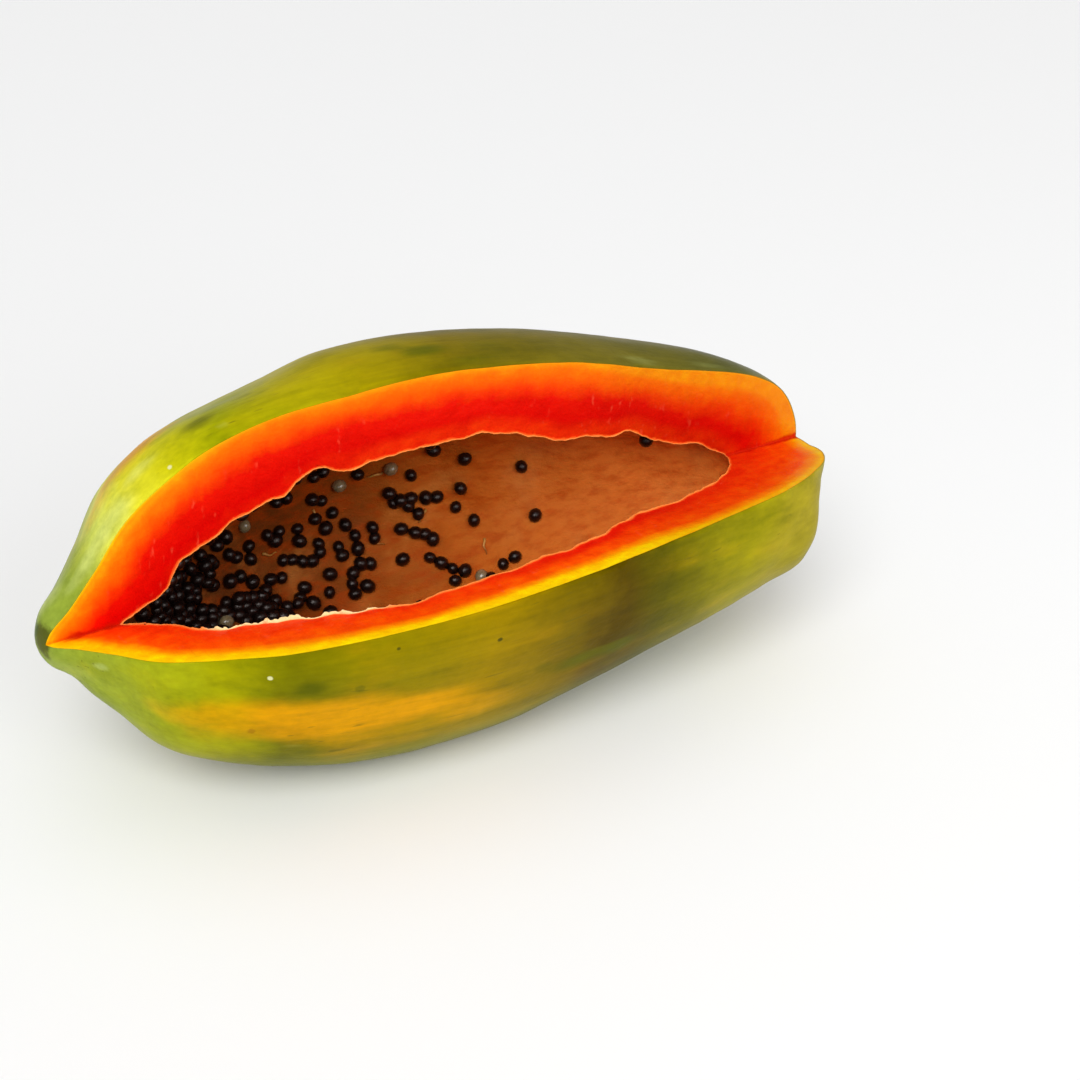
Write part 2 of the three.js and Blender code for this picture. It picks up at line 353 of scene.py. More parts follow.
# How far the wall's torn edge stands out past that (+) or into the hollow (-): along the fruit, millimetres.
REAR_TEARS = [
    (30, 0), (38, -2.4), (47, -4.8), (52, -2), (57, -4.2), (62, -4.2), (66, -2.8), (71, -1.2), (76, 0.4),
    (80, 1.9), (84, 1.8), (88, -0.5), (92, -2.8), (97, -0.5), (101, 1.4), (106, 0.4), (112, -3.6),
    (116, -4.8), (120, -5.2), (124, -3.8), (129, -4.3), (133, -4.7), (138, -3.3), (143, -2.4), (150, -2.9),
    (157, -1), (175, 0),
]
FRONT_TEARS = [
    (38, 0), (46, -2.2), (54, -1.5), (60, -0.5), (66, -3), (74, -5), (82, -5), (88, -2), (94, -2.5), (99, 0),
]
REAR_EDGE_FROM = 0.6  # the sine of the angle round the axis, above which an edge is the rear


def lumps(point, sizes):
    return sum(height * noise.noise(point / size) for height, size in sizes)


# Small forms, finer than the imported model's facets: dents in the skin, and the corner by the stem, which the
# knife left standing out along the fruit. Where the fruit rests on the table it is pressed flat.
SKIN_DENTS = [(8, -45, 8, 60, -0.8), (306, -34, 12, 34, -1.4)]
STEM_CORNER = [(307, 36, 10, 22, 3.0), (310, -8, 12, 34, -1.8)]
RESTS_AT = 0.25  # how far the skin's shell stays above the table, for the peel that goes round it


def soft_skin_point(along, angle, radius):
    uneven = lumps(skin_point(along, angle, radius), SKIN_LUMPS) + swell_at(along, angle, SKIN_DENTS)
    point = skin_point(along, angle, radius + uneven * min(1, radius / WAVES_FROM))
    point.x += swell_at(along, angle, STEM_CORNER)
    point.z = max(point.z, RESTS_AT)
    return point


def tear_at(along, angle):
    """The tear of the rear edge, which is the upper one, or of the front edge."""
    tears = REAR_TEARS if math.sin(angle) > REAR_EDGE_FROM else FRONT_TEARS
    inside = tears[0][0] < along < tears[-1][0]
    return value_at(tears, along) if inside else 0


def wall_unevenness(along, angle, radius):
    """How far the real wall lies outside the smooth one."""
    smooth = lining_point(along, angle, radius)
    torn = 1 - smooth_step(abs(depth_behind_cuts(smooth)), 0, TORN_REACH)
    uneven = lumps(smooth, LINING_LUMPS) + torn * (lumps(smooth, TORN_LUMPS) + tear_at(along, angle))
    return uneven * min(1, radius / WAVES_FROM)


def torn_lining_point(along, angle, radius):
    return lining_point(along, angle, radius + wall_unevenness(along, angle, radius))


SKIN_NET, LINING_NET = (170, 150), (150, 120)  # steps along the fruit and round it

skin_shell = spun_shell(smooth_outline(FRUIT_OUTLINE, SKIN_NET[0]), SKIN_NET[1], soft_skin_point)
lining_shell = spun_shell(smooth_outline(CAVITY_OUTLINE, LINING_NET[0]), LINING_NET[1], torn_lining_point)
print("faces of the skin:", len(skin_shell.faces), "of the hollow:", len(lining_shell.faces))

# %% [markdown]
# ## Cutting the shells
#
# The knife is `bisect_plane`: it draws the line of a cut on the faces that it crosses, here only on those
# near the wedge. With both lines drawn, the faces whose middle lies in the open wedge are deleted, which
# leaves each shell with an open edge. Where the knife passed close to a point, that edge has a tiny piece:
# `weld_verts` closes it up, and the points on the crease stay where they are.

# %% Cut the wedge out of a shell
NEAR_WEDGE = 8  # millimetres past the cuts within which faces may be crossed
TINY_EDGE = 0.45  # millimetres


def off_crease(point):
    away = point - crease_at(0)
    return (away - crease_line * away.dot(crease_line)).length


def cut_wedge(shell):
    for normal in CUTS:
        near = [f for f in shell.faces if depth_behind_cuts(f.calc_center_median()) < NEAR_WEDGE]
        edges = {e for f in near for e in f.edges}
        corners = {v for f in near for v in f.verts}
        bmesh.ops.bisect_plane(
            shell, geom=[*corners, *edges, *near], dist=SAME_PLACE, plane_co=crease_at(0), plane_no=normal)
    gone = [f for f in shell.faces if depth_behind_cuts(f.calc_center_median()) < 0]
    bmesh.ops.delete(shell, geom=gone, context="FACES")
    welded = {}
    for edge in [e for e in shell.edges if e.is_boundary and e.calc_length() < TINY_EDGE]:
        kept, lost = sorted(edge.verts, key=lambda corner: off_crease(corner.co))
        if not {kept, lost} & {*welded, *welded.values()}:
            welded[lost] = kept
    bmesh.ops.weld_verts(shell, targetmap=welded)
    return len(welded)


print("tiny edges welded:", cut_wedge(skin_shell), cut_wedge(lining_shell))
print("faces left:", len(skin_shell.faces), len(lining_shell.faces))

# %% [markdown]
# ## The flesh
#
# The flesh is one closed body: the skin side outside, the hollow inside, and the two cut faces between them.
# Both shells now end in the same kind of open edge, so each cut face is a bridge from the edge of the skin
# to the edge of the hollow. The longest pieces of the edge with fewer points are halved first, so that each
# point has a partner. Then `bridge_loops` lays rungs between the two, and `subdivide_edges` cuts the rungs
# into short steps, which gives the cut faces a fine even net of squares for their colour and relief.

# %% Join the shells into the flesh
SKIN_SIDE, CUT_FACE, HOLLOW_SIDE = 0, 1, 2  # material places of the flesh
RUNG_STEPS = 19


def mesh_of(body, name):
    mesh = bpy.data.meshes.new(name)
    body.to_mesh(mesh)
    return mesh


def pour_into(body, other):
    """Adds a copy of another bmesh to a body, by way of a mesh."""
    mesh = mesh_of(other, "passing")
    body.from_mesh(mesh)
    bpy.data.meshes.remove(mesh)


def shade_smooth(faces, place=0):
    for face in faces:
        face.material_index, face.smooth = place, True


def add_shell(body, shell, place, turn_round=False):
    before = set(body.faces)
    pour_into(body, shell)
    new = [f for f in body.faces if f not in before]
    shade_smooth(new, place)
    if turn_round:
        bmesh.ops.reverse_faces(body, faces=new)


def nearest_cut(point):
    """Which of the two cuts a point is nearest to."""
    return min(CUTS, key=lambda normal: abs((point - crease_at(0)).dot(normal)))


def cut_of(edge):
    """Which of the two cuts an open edge lies in."""
    return nearest_cut((edge.verts[0].co + edge.verts[1].co) / 2)


def rim_of(body, normal, place):
    """The open edges of one shell in one cut."""
    return [e for e in body.edges if e.is_boundary and e.link_faces[0].material_index == place
            and cut_of(e) is normal]


def pair_rims(body, normal):
    """Halves the longest edges of the shorter rim until both have the same number."""
    rims = [rim_of(body, normal, place) for place in (SKIN_SIDE, HOLLOW_SIDE)]
    fewer, more = sorted(rims, key=len)
    longest = sorted(fewer, key=lambda edge: -edge.calc_length())[:len(more) - len(fewer)]
    bmesh.ops.subdivide_edges(body, edges=longest, cuts=1)
    print("cut face: rims of", len(fewer), "and", len(more), "edges")


def bridge_cut(body, rims):
    """Spans one cut face between the edge of the skin and the edge of the hollow."""
    made = bmesh.ops.bridge_loops(body, edges=rims)
    shade_smooth(made["faces"], CUT_FACE)
    print("bridge of", len(made["faces"]), "faces from", len(rims), "edges")
    return made["edges"]


flesh_body = bmesh.new()
add_shell(flesh_body, skin_shell, SKIN_SIDE)
add_shell(flesh_body, lining_shell, HOLLOW_SIDE, turn_round=True)
for normal in CUTS:
    pair_rims(flesh_body, normal)
rims = [rim_of(flesh_body, cut, SKIN_SIDE) + rim_of(flesh_body, cut, HOLLOW_SIDE) for cut in CUTS]
rungs = [e for edges in rims for e in bridge_cut(flesh_body, edges)]
bmesh.ops.subdivide_edges(flesh_body, edges=list(set(rungs)), cuts=RUNG_STEPS, use_grid_fill=True)
bmesh.ops.remove_doubles(flesh_body, verts=flesh_body.verts, dist=SAME_PLACE)
print("edges that aren't closed after bridging:", sum(not e.is_manifold for e in flesh_body.edges))

# %% [markdown]
# ## Where in the flesh a point lies
#
# Papaya flesh is yellow under the skin and red by the hollow. To paint that on the cut faces, each point
# keeps its distances to the skin, to the hollow and to the crease as attributes, and also how far along the
# fruit it lies and in which cut. A `BVHTree` answers how far the nearest face of a shell is. The material
# reads the attributes later.

# %% Measure the depths
def keep_value(body, name, value_of):
    layer = body.verts.layers.float.new(name)
    for corner in body.verts:
        corner[layer] = value_of(corner.co)


skin_tree, lining_tree = BVHTree.FromBMesh(skin_shell), BVHTree.FromBMesh(lining_shell)
keep_value(flesh_body, "skin_depth", lambda point: skin_tree.find_nearest(point)[3])
keep_value(flesh_body, "hollow_depth", lambda point: lining_tree.find_nearest(point)[3])
keep_value(flesh_body, "crease_depth", off_crease)
keep_value(flesh_body, "along", along_of)
keep_value(flesh_body, "front_cut", lambda point: float(nearest_cut(point) is front_normal))
print("the flesh's points keep:", flesh_body.verts.layers.float.keys())

# %% [markdown]
# ## The face that a knife leaves
#
# A knife leaves papaya almost flat, but not quite: the wet fibres stand up by a fraction of a millimetre.
# The points inside the cut faces are moved along the cut's normal by soft noise, and those on an edge stay,
# so that the body stays closed.

# %% Roughen the cut faces
CUT_LUMPS = [(0.22, 11), (0.10, 3.2)]
CREASE_SHARP = 3  # millimetres by the crease within which the face gets flatter


def roughen_cuts(body):
    for corner in body.verts:
        if all(face.material_index == CUT_FACE for face in corner.link_faces):
            depth = min(1, off_crease(corner.co) / CREASE_SHARP)
            corner.co += corner.normal * lumps(corner.co, CUT_LUMPS) * depth


flesh_body.normal_update()
roughen_cuts(flesh_body)
for edge in flesh_body.edges:
    edge.smooth = len({face.material_index for face in edge.link_faces}) == 1
print("flesh volume, litres:", round(flesh_body.calc_volume() / 1e6, 3), "faces:", len(flesh_body.faces))

# %% [markdown]
# ## From a bmesh to a piece
#
# The shapes are worked out in millimetres. Each finished one is scaled to metres in its mesh, so its object
# stays at the origin, unturned and unscaled, and rides on the fruit's one body.

# %% Make a piece
def make_piece(name, body, material):
    bmesh.ops.scale(body, vec=(MM, MM, MM), verts=body.verts)
    mesh = mesh_of(body, name)
    body.free()
    mesh.materials.append(material)
    piece = add_object(name, mesh)
    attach(piece, "root")
    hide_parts("papaya_half")
    print(name, "has", len(mesh.polygons), "faces")
    return piece


# %% [markdown]
# ## The peel
#
# The peel is a thin waxy layer. It is the skin's shell once more, moved out by a quarter of a millimetre and
# given a thickness, so its cut edge shows as a fine line round the cut faces, as on the real fruit.

# %% Make the peel
PEEL_OUT, PEEL_THICK = 0.25, 0.32
TOP_FROM, UNDER_FROM = (20, 45), (25, 75)  # how far above and below the axis those sides fade in
# Soft patches on the peel: along, degrees round, their two reaches, and how strong they are.
BLUSH = [
    (84, 340, 46, 15, 1), (114, 338, 38, 10, 0.9), (58, 344, 30, 14, 0.6), (142, 333, 22, 8, 0.4),
    (44, 340, 26, 17, 0.45), (46, 106, 26, 13, 0.85), (30, 98, 16, 12, 0.4), (110, 325, 60, 10, 0.35),
    (130, 178, 75, 30, 0.9), (215, 205, 60, 22, 0.6), (250, 128, 45, 20, 0.5), (90, 262, 60, 25, 0.6),
]
DARK_GREEN = [
    (79, 355, 10, 6, 0.95), (62, 352, 12, 8, 0.35), (184, 336, 22, 6, 0.8), (202, 335, 14, 6, 0.8),
    (168, 339, 8, 4, 0.6), (196, 327, 16, 7, 0.4), (66, 88, 12, 7, 0.75), (84, 93, 9, 4, 0.5),
    (150, 86, 16, 5, 0.85), (138, 91, 12, 4, 0.6), (162, 79, 18, 5, 0.6), (176, 84, 20, 9, 0.5),
    (278, 5, 14, 6, 0.5), (262, 14, 9, 4, 0.4), (288, 350, 10, 9, 0.4), (100, 350, 14, 4, 0.3),
    (170, 140, 40, 20, 0.5), (60, 200, 30, 16, 0.5), (110, 228, 28, 14, 0.6), (232, 300, 34, 16, 0.5),
]
# Pale bloom: partly the peel's own waxy bloom, partly painted sheen where light catches the skin near the tip.
PALE_BLOOM_AND_SHEEN = [
    (17, 358, 4, 7, 0.8), (30, 80, 16, 12, 0.75), (18, 76, 10, 12, 0.6), (12, 100, 14, 30, 0.5),
    (7, 104, 8, 30, 0.6), (44, 88, 12, 6, 0.5), (72, 80, 3, 4, 0.4), (8, 330, 14, 40, 0.35),
    (14, 200, 22, 50, 0.6), (75, 327, 10, 3, 0.4), (236, 82, 14, 5, 0.4), (268, 84, 22, 4, 0.35),
    (252, 160, 30, 20, 0.3),
]


def round_place(point):
    """Distance along the fruit and angle round it, in degrees."""
    along = along_of(point)
    away = point - axis_at(along)
    return along, math.degrees(math.atan2(away.z, -away.y)) % 360


def height_over_axis(point):
    return point.z - axis_at(along_of(point)).z


def move_out(shell, out):
    """Moves a shell along its normals, so that it lies just off the flesh."""
    shell.normal_update()
    for corner in shell.verts:
        corner.co += corner.normal * out
    shade_smooth(shell.faces)


def thicken(piece, thick):
    """Gives a piece its thickness, to the side that its normals don't face."""
    wall = piece.modifiers.new("thickness", "SOLIDIFY")
    wall.thickness, wall.offset = thick * MM, -1


peel = skin_shell.copy()
keep_value(peel, "along", along_of)
for name, patches in (("blush", BLUSH), ("dark_green", DARK_GREEN), ("pale_bloom_and_sheen", PALE_BLOOM_AND_SHEEN)):
    keep_value(peel, name, lambda point: soft_patch(*round_place(point), patches))
# The top side gets its own colours, paler at the tip with painted sheen.
keep_value(peel, "topside", lambda point: smooth_step(height_over_axis(point), *TOP_FROM))
# The underside gets a greyer green, a painted reflection of the pale table.
keep_value(peel, "underside", lambda point: smooth_step(-height_over_axis(point), *UNDER_FROM))
move_out(peel, PEEL_OUT)
print("the peel's points keep:", peel.verts.layers.float.keys())

# %% [markdown]
# ## The lining of the hollow
#
# A thin skin lines the hollow. The knife tears it rather than cutting it clean, so along the cut it stands
# up in a ragged pale fringe, most of all at the front near the tip. The open edge of the lining's shell is
# subdivided and extruded, and the new points are drawn out by uneven amounts.

# %% Make the lining
LINING_IN, LINING_THICK = 0.22, 0.3
FRINGE_SIZES, FRINGE_MORE = [(1.1, 3.1), (0.8, 1.3), (0.6, 9)], 0.35  # its ragged lumps, and more of it
FRINGE_FRONT, FRINGE_REAR, FRINGE_BASE = 1.5, 0.35, 0.25
FRINGE_RISES, FRINGE_FALLS = (46, 60), (102, 127)  # along the fruit, at the front
FRINGE_LOW = 0.2  # the front fringe's height elsewhere, as a share of its tallest
PALE_FRONT, PALE_REAR, PALE_ROOT = (0.4, 1), 0.5, 0.8  # how pale it is, and its root as a share of that


def between(low_high, share):
    return low_high[0] + (low_high[1] - low_high[0]) * share


def fringe_tall(point):
    return smooth_step(along_of(point), *FRINGE_RISES) * (1 - smooth_step(along_of(point), *FRINGE_FALLS))


def fringe_height(point, on_front):
    uneven = max(0, FRINGE_MORE + lumps(point, FRINGE_SIZES))
    tall = FRINGE_FRONT * between((FRINGE_LOW, 1), fringe_tall(point)) if on_front else FRINGE_REAR
    return FRINGE_BASE + tall * uneven


def grow_fringe(shell):
    layer = shell.verts.layers.float.new("fringe")
    open_edges = [e for e in shell.edges if e.is_boundary]
    bmesh.ops.subdivide_edges(shell, edges=open_edges, cuts=2)
    open_edges = [e for e in shell.edges if e.is_boundary]
    shell.normal_update()
    way = {}
    for edge in open_edges:
        normal = cut_of(edge)
        for corner in edge.verts:
            out = -normal + corner.normal * normal.dot(corner.normal)
            way[corner] = (out.normalized(), normal is front_normal)
    made = bmesh.ops.extrude_edge_only(shell, edges=open_edges)
    fringe = [v for v in made["geom"] if isinstance(v, bmesh.types.BMVert)]
    for corner in fringe:
        neighbours = [e.other_vert(corner) for e in corner.link_edges]
        root = min(neighbours, key=lambda v: (v.co - corner.co).length)
        out, on_front = way[root]
        corner.co += out * fringe_height(root.co, on_front)
        pale = between(PALE_FRONT, fringe_tall(root.co)) if on_front else PALE_REAR
        corner[layer], root[layer] = pale, PALE_ROOT * pale
    return len(fringe)


lining = lining_shell.copy()
print("points of the fringe:", grow_fringe(lining))
bmesh.ops.reverse_faces(lining, faces=lining.faces[:])
keep_value(lining, "along", along_of)
move_out(lining, LINING_IN)

# %% [markdown]
# ## Where the seeds lie
#
# The seeds crowd at the tip and thin out towards the stem, in loose clumps and short rows. Each one is drawn
# from a repeatable stream of numbers, is kept where the crowd allows it, and needs room for itself. The
# rows on the back wall come first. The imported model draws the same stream, so its seeds are the first ones.
# The back wall, which faces the eye, gets its own list next. Elsewhere more seeds are drawn, and then their
# companions, each of which touches a seed that is already there. Last come a few heaps, where the seeds lie
# on each other. Some seeds still have their milky coat.

# %% Scatter the seeds
SEED_HALF = (2.6, 2.3, 2.3)  # half length, half width and half height, millimetres
SEED_SIZES, SEED_SINK, SEED_ROOM, SEED_MARGIN = (0.88, 1.12), 0.4, 4.3, 2.4
PACKED_SEEDS, SEED_COUNT, SEED_FIRST_DRAW = 160, 400, 4711
COMPANIONS, COMPANION_FAR, COMPANION_ROOM, COMPANION_LIFT = 150, (4.2, 5), 3.7, (0, 1.2)
# Each heap: along, degrees round, its two reaches and its number of seeds.
HEAPS = [(56, 210, 12, 9, 7), (76, 219, 15, 6, 11), (68, 192, 9, 12, 4), (100, 226, 9, 4, 6)]
HEAP_ROOM, HEAP_LIFT, HEAP_TRIES, EITHER_WAY = 2.9, (0, 2.2), 40, (-1, 1)
SEEN_WALL, SEEN_ROOM = ((66, 240), (158, 236)), 3.4  # along and degrees of the wall that faces the eye
SEEN_SEEDS = {  # on it: distance along the fruit, and the degrees of its seeds
    52: (197,), 56: (199,), 60: (189,), 64: (184, 189, 206), 66: (184, 195), 68: (199, 225), 70: (224,),
    72: (185, 195, 202, 217, 230), 74: (199, 205), 76: (179, 214, 222), 78: (181, 200, 217), 80: (177, 223),
    82: (227,), 84: (192, 205), 86: (192, 226), 88: (227,), 90: (189, 196), 92: (211,), 96: (220,),
    100: (192,), 102: (212,), 104: (171, 187, 202), 108: (170, 203), 110: (217,), 112: (189, 195, 205, 225),
    116: (206,), 118: (231,), 120: (164, 185, 199, 203, 222), 122: (214,), 124: (163, 180, 193),
    128: (187, 203, 209), 130: (221, 226), 134: (176,), 136: (193, 206, 213, 224), 140: (171, 214),
    144: (198, 203), 148: (173,), 152: (182, 212), 156: (184, 202), 160: (171, 184, 193, 206),
    164: (186, 206, 218), 168: (232,), 170: (160, 187), 172: (191, 226), 174: (231,), 176: (196, 228),
    180: (164, 234), 182: (185,), 184: (205,), 192: (232,), 206: (209,), 208: (175,),
}
MILKY_SEEDS = [(153, 169), (132, 175), (89, 177), (74, 225), (182, 235), (110, 300), (74, 95)]
SEED_FIELD, SEED_AROUND = (34, 262), (60, 390)
SEED_CROWD = [(34, 1), (78, 1), (104, 0.42), (150, 0.3), (190, 0.06), (262, 0.02)]
CLUMP_DEPTH, CLUMP_WAVES = 0.8, [(0.11, 0.035), (-0.07, 0.052)]
BACK_WALL, BACK_WALL_START, ROW_UNEVEN, ROW_WAVES = (140, 240), 150, 2, (7, 5)
SEED_ROWS = [
    (153, 187, 172, 190, 5), (178, 194, 178, 194, 1), (156, 203, 166, 208, 3), (176, 228, 181, 229, 2),
    (172, 234, 184, 236, 3), (163, 196, 163, 196, 1), (160, 172, 160, 172, 1), (183, 167, 182, 184, 2),
    (206, 175, 208, 206, 2), (185, 203, 185, 203, 1), (153, 215, 167, 220, 2), (197, 230, 197, 230, 1),
]
SMALL_STEP = 0.5  # along or round, to tell which way the wall runs


STREAM_FACTOR, STREAM_PRIME = 16807, 2147483647


def random_stream(state):
    """The same numbers from 0 to 1 on each run, whatever the machine."""
    while True:
        state = state * STREAM_FACTOR % STREAM_PRIME
        yield state / STREAM_PRIME


lining_line = smooth_outline(CAVITY_OUTLINE, FINE)


def lining_radius(along):
    return value_at(lining_line, along)


def on_lining(along, degrees):
    return lining_point(along, math.radians(degrees), lining_radius(along))


def crowd_at(along, degrees):
    if along > BACK_WALL_START and BACK_WALL[0] < degrees < BACK_WALL[1]:
        return 0
    first, second = (math.sin(lengthwise * along + around * degrees) for lengthwise, around in CLUMP_WAVES)
    return value_at(SEED_CROWD, along) * (1 + CLUMP_DEPTH * first * second)


def draws_of(low_high, draw):
    return between(low_high, next(draw))


def on_seen_wall(along, degrees):
    return all(low < value < high for value, (low, high) in zip((along, degrees), SEEN_WALL))


def seed_places():
    draw = random_stream(SEED_FIRST_DRAW)
    places = []

    def place(along, degrees, room=SEED_ROOM, lift=0):
        point = on_lining(along, degrees)
        free = all((other["point"] - point).length > room for other in places)
        if free and depth_behind_cuts(point) > SEED_MARGIN:
            size = draws_of(SEED_SIZES, draw)
            places.append({"along": along, "degrees": degrees, "point": point, "size": size,
                           "turn": next(draw) * math.pi, "lift": lift, "coated": False})

    def scatter(count, allowed):
        while len(places) < count:
            along, degrees = draws_of(SEED_FIELD, draw), draws_of(SEED_AROUND, draw)
            crowd = crowd_at(along, degrees) * lining_radius(along) / CAVITY_WIDEST
            if next(draw) < crowd and allowed(along, degrees):
                place(along, degrees)

    for start, degrees, end, to_degrees, number in SEED_ROWS:
        for i in range(number):
            share = i / max(number - 1, 1)
            uneven = ROW_UNEVEN * math.sin(ROW_WAVES[0] * start + ROW_WAVES[1] * i)
            place(between((start, end), share) + uneven / 2, between((degrees, to_degrees), share) + uneven)
    scatter(PACKED_SEEDS, lambda *_: True)
    for along, around in SEEN_SEEDS.items():
        for degrees in around:
            place(along, degrees, SEEN_ROOM)
    scatter(SEED_COUNT, lambda *at: not on_seen_wall(*at))
    while len(places) < SEED_COUNT + COMPANIONS:
        first = places[int(next(draw) * SEED_COUNT)]
        if next(draw) < crowd_at(first["along"], first["degrees"]):
            way, far = next(draw) * math.tau, draws_of(COMPANION_FAR, draw)
            along = first["along"] + far * math.cos(way)
            degrees = first["degrees"] + math.degrees(far * math.sin(way) / lining_radius(along))
            if not on_seen_wall(along, degrees):
                place(along, degrees, COMPANION_ROOM, draws_of(COMPANION_LIFT, draw))
    for along, degrees, reach, reach_around, number in HEAPS:
        wanted = len(places) + number
        for _ in range(HEAP_TRIES * number):
            if len(places) < wanted:
                at = along + reach * draws_of(EITHER_WAY, draw)
                around = degrees + reach_around * draws_of(EITHER_WAY, draw)
                place(at, around, HEAP_ROOM, draws_of(HEAP_LIFT, draw))
    for along, degrees in MILKY_SEEDS:
        point = on_lining(along, degrees)
        nearest = min(places, key=lambda seed: (seed["point"] - point).length)
        nearest.update(along=along, degrees=degrees, point=point, coated=True)
    return places


seeds = seed_places()
print("seeds:", len(seeds), "the last of the packed model's:",
      [round(x, 1) for x in seeds[PACKED_SEEDS - 1]["point"]])

# %% [markdown]
# ## The seeds
#
# A papaya seed is a dark oval bead of about five millimetres. One bead of a few dozen faces is made at each
# place: `create_uvsphere` makes it at the origin, and a matrix gives it its size, its turn and its place on
# the wall. A seed's own matrix has one axis along the fruit and one that points into the hollow.

# %% Make the seeds
SEED_BEHIND_CUT = 3.2  # how far inside a cut the middle of a seed stays, millimetres
SEED_GROW = 1.17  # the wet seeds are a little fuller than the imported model's


def seed_frame(seed):
    """A seed's place and lie on the wall: lengthwise, across and inwards."""
    point = seed["point"]
    lengthwise = (on_lining(seed["along"] + SMALL_STEP, seed["degrees"]) - point).normalized()
    around = on_lining(seed["along"], seed["degrees"] + SMALL_STEP) - point
    inwards = around.cross(lengthwise).normalized()
    across = inwards.cross(lengthwise)
    wall = wall_unevenness(seed["along"], math.radians(seed["degrees"]), lining_radius(seed["along"]))
    basis = Matrix((lengthwise, across, inwards)).transposed().to_4x4()
    height = SEED_HALF[2] * seed["size"] * (1 - SEED_SINK) - wall + seed["lift"]
    middle = point + inwards * height
    for normal in CUTS:
        behind = (middle - crease_at(0)).dot(normal)
        if 0 < behind < SEED_BEHIND_CUT and (middle - axis_at(seed["along"])).dot(normal) < behind:
            middle += normal * (SEED_BEHIND_CUT - behind)
    return Matrix.Translation(middle) @ basis


def add_bead(body, seed):
    scale = Matrix.Diagonal([half * seed["size"] * SEED_GROW for half in SEED_HALF] + [1])
    matrix = seed_frame(seed) @ Matrix.Rotation(seed["turn"], 4, "Z") @ scale
    bead = bmesh.new()
    bmesh.ops.create_uvsphere(bead, u_segments=10, v_segments=6, radius=1)
    bmesh.ops.transform(bead, matrix=matrix, verts=bead.verts)
    shade_smooth(bead.faces)
    pour_into(body, bead)
    bead.free()


dark_seeds, coated_seeds = bmesh.new(), bmesh.new()
for seed in seeds:
    add_bead(coated_seeds if seed["coated"] else dark_seeds, seed)
print("faces of the seeds:", len(dark_seeds.faces), len(coated_seeds.faces))

# %% [markdown]
# ## The threads
#
# Short pale threads are left on the wall where seeds have come away. Each one is a curve that creeps along
# the wall. The curve's bevel makes a thin tube of it, thinner towards its end, and the tube becomes a mesh.

# %% Make the threads
THREADS = [  # where each one starts, along and degrees round, and its heading
    (142, 203, 0.6), (166, 194, 2.2), (120, 183, 1.1), (96, 196, 0.2), (150, 172, 2.9), (188, 215, 1.7),
    (130, 300, 0.3), (92, 330, 2.0), (176, 280, 1.2), (210, 320, 0.5), (110, 110, 2.5), (160, 90, 0.9),
]
THREAD_STEPS, THREAD_STEP, THREAD_RADIUS, THREAD_TIP = 9, 0.85, 0.62, 0.35
THREAD_LOW, THREAD_ARCH = 0.5, 1.1  # millimetres off the wall at both ends, and how much more midway
THREAD_WAVE, THREAD_WAVES = 0.5, 0.9


def thread_path(along, degrees, way):
    path = []
    for i in range(THREAD_STEPS):
        at = on_lining(along, degrees)
        inwards = (axis_at(along) - at).normalized()
        wall = wall_unevenness(along, math.radians(degrees), lining_radius(along))
        arch = THREAD_LOW + THREAD_ARCH * math.sin(math.pi * i / (THREAD_STEPS - 1))
        path.append(at + inwards * (arch - wall))
        bend = way + THREAD_WAVE * math.sin(THREAD_WAVES * i)
        along += THREAD_STEP * math.cos(bend)
        degrees += math.degrees(THREAD_STEP * math.sin(bend) / lining_radius(along))
    return path


def make_threads():
    curve = bpy.data.curves.new("threads", "CURVE")
    curve.dimensions = "3D"
    curve.bevel_depth, curve.bevel_resolution, curve.use_fill_caps = THREAD_RADIUS, 1, True
    for place in THREADS:
        path = thread_path(*place)
        line = curve.splines.new("POLY")
        line.points.add(len(path) - 1)
        for i, (point, at) in enumerate(zip(line.points, path)):
            point.co = (*at, 1)
            point.radius = between((1, THREAD_TIP), i / (len(path) - 1))
    holder = bpy.data.objects.new("threads", curve)
    mesh = bpy.data.meshes.new_from_object(holder)
    body = bmesh.new()
    body.from_mesh(mesh)
    bpy.data.objects.remove(holder)
    bpy.data.curves.remove(curve)
    bmesh.ops.remove_doubles(body, verts=body.verts, dist=SAME_PLACE)
    bmesh.ops.recalc_face_normals(body, faces=body.faces)
    shade_smooth(body.faces)
    return body


threads = make_threads()
print("open edges of the threads:", sum(e.is_boundary for e in threads.edges))

# %% [markdown]
# ## Finishes
#
# Each finish is a Principled shader with nodes in front of it. The outputs and inputs of nodes are sockets,
# and a socket knows its node tree. So short helpers can take sockets and plain numbers alike: they add and
# multiply values, stretch a range, mix two colours, pick a colour along a ramp and make soft noise.

# %% Helpers for materials
# Some light enters wet flesh and comes out again a few millimetres further on, mostly red.
JUICY = {"Subsurface_Weight": 0.1, "Subsurface_Radius": (0.004, 0.0015, 0.0006), "Subsurface_Scale": 1.0}


def connect(socket, value):
    """Feeds a socket from another one, or gives it a plain value."""
    if isinstance(value, bpy.types.NodeSocket):
        socket.id_data.links.new(value, socket)
    else:
        socket.default_value = value


def feed(node, **inputs):
    for name, value in inputs.items():
        connect(node.inputs[name.replace("_", " ")], value)
    return node


def start_finish(name, roughness, **inputs):
    material = bpy.data.materials.new(name)
    material.use_nodes = True
    tree = material.node_tree
    shader = feed(tree.nodes["Principled BSDF"], Roughness=roughness, **inputs)
    return material, tree, shader


def add_node(tree, kind, settings=None, **inputs):
    made = tree.nodes.new("ShaderNode" + kind)
    for key, value in (settings or {}).items():
        setattr(made, key, value)
    return feed(made, **inputs)


def arithmetic(operation, first, second):
    made = add_node(first.id_data, "Math", {"operation": operation})
    connect(made.inputs[0], first)
    connect(made.inputs[1], second)
    return made.outputs[0]


def plus(*values):
    return reduce(lambda total, value: arithmetic("ADD", total, value), values)


def times(*values):
    return reduce(lambda product, value: arithmetic("MULTIPLY", product, value), values)


